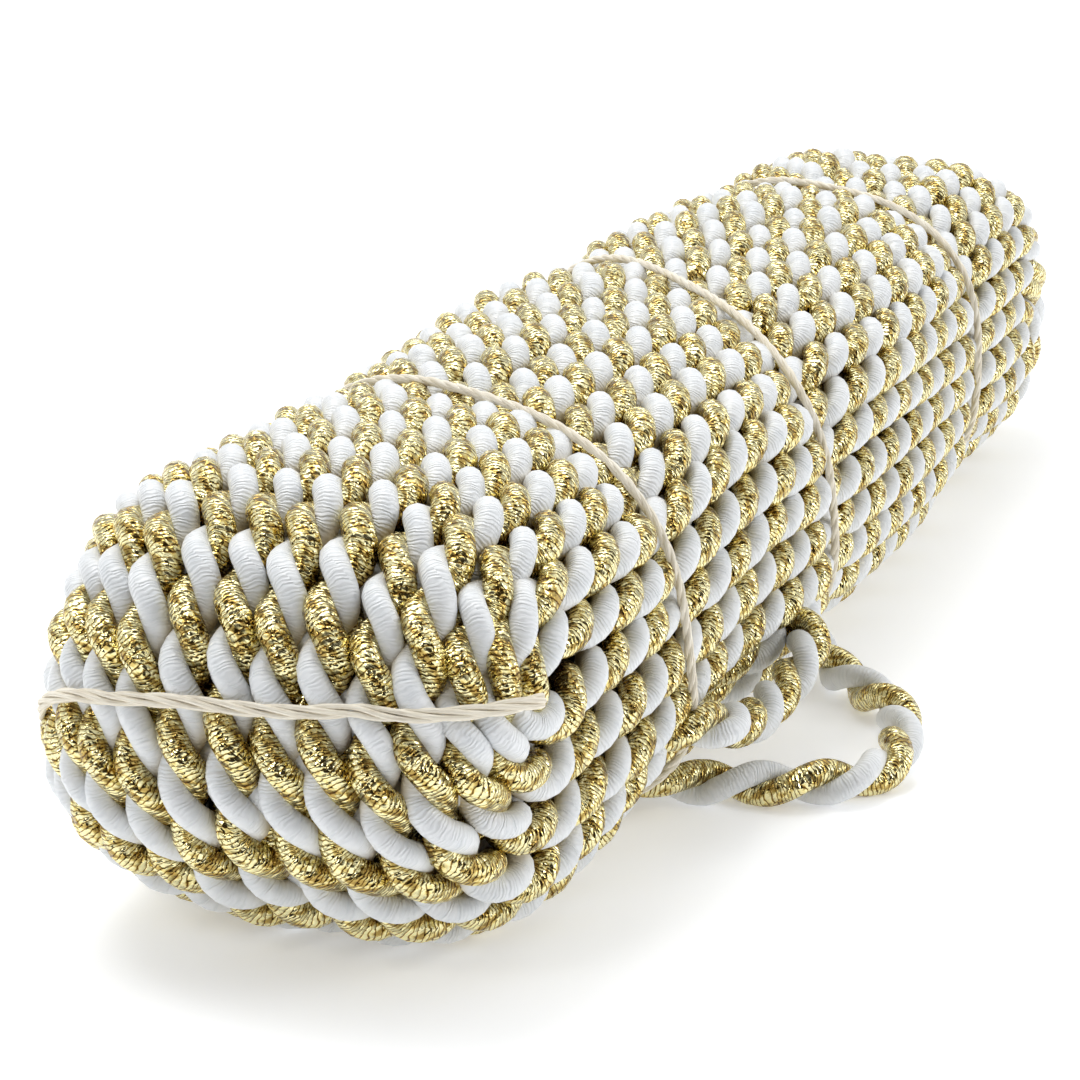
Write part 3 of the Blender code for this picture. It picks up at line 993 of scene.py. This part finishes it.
def add_world():
    """Even pale light from all round, dimmer from behind the camera."""
    world = bpy.data.worlds.new("studio")
    world.use_nodes = True
    tree = world.node_tree
    a, e = np.radians(CAMERA_AZIMUTH), np.radians(CAMERA_ELEVATION)
    way = tree.nodes.new("ShaderNodeTexCoord").outputs["Generated"]
    towards = tree.nodes.new("ShaderNodeVectorMath")
    towards.operation = "DOT_PRODUCT"
    tree.links.new(way, towards.inputs[0])
    towards.inputs[1].default_value = (np.sin(a) * np.cos(e), -np.cos(a) * np.cos(e), np.sin(e))
    share = tree.nodes.new("ShaderNodeMapRange")
    share.interpolation_type = "SMOOTHSTEP"
    share.inputs["From Min"].default_value = DIM_FROM
    share.inputs["From Max"].default_value = DIM_FULL
    tree.links.new(towards.outputs["Value"], share.inputs["Value"])
    mix = tree.nodes.new("ShaderNodeMix")
    mix.data_type = "RGBA"
    tree.links.new(share.outputs[0], mix.inputs[MIX_SHARE])
    mix.inputs[MIX_A].default_value = (*WORLD_COLOUR, 1.0)
    mix.inputs[MIX_B].default_value = (*DIM_COLOUR, 1.0)
    height = tree.nodes.new("ShaderNodeSeparateXYZ")
    tree.links.new(way, height.inputs[0])
    strength = tree.nodes.new("ShaderNodeMapRange")
    strength.inputs["To Min"].default_value = HORIZON_SHARE * WORLD_STRENGTH
    strength.inputs["To Max"].default_value = OVERHEAD_SHARE * WORLD_STRENGTH
    tree.links.new(height.outputs[2], strength.inputs["Value"])
    background = tree.nodes["Background"]
    tree.links.new(mix.outputs[MIX_RESULT], background.inputs["Color"])
    tree.links.new(strength.outputs[0], background.inputs["Strength"])
    bpy.context.scene.world = world


def add_lights():
    for name, (place, aim, size, power) in LIGHTS.items():
        data = bpy.data.lights.new(name, "AREA")
        data.size = size
        data.energy = power
        light = bpy.data.objects.new(name, data)
        light.location = place
        light.rotation_euler = (Vector(aim) - Vector(place)).to_track_quat("-Z", "Y").to_euler()
        bpy.context.scene.collection.objects.link(light)


add_camera()
white_look, gold_look = white_material(), gold_material()
twine_look = twine_material()
cord_looks = [white_look, gold_look]
add_free_cord("loose_bight", LOOSE_BIGHT, BIGHT_TAILS, cord_looks, BIGHT_PHASE, BIGHT_PITCH)
add_free_cord("slack_run", SLACK_RUN, SLACK_TAILS, cord_looks, SLACK_PHASE, PITCH)
add_turns(white_look, gold_look)
add_inner_turns(white_look, gold_look)
add_core(core_material())
add_ties(twine_look)
add_band(twine_look)
add_floor()
add_world()
add_lights()
bpy.context.scene.view_settings.view_transform = "Standard"
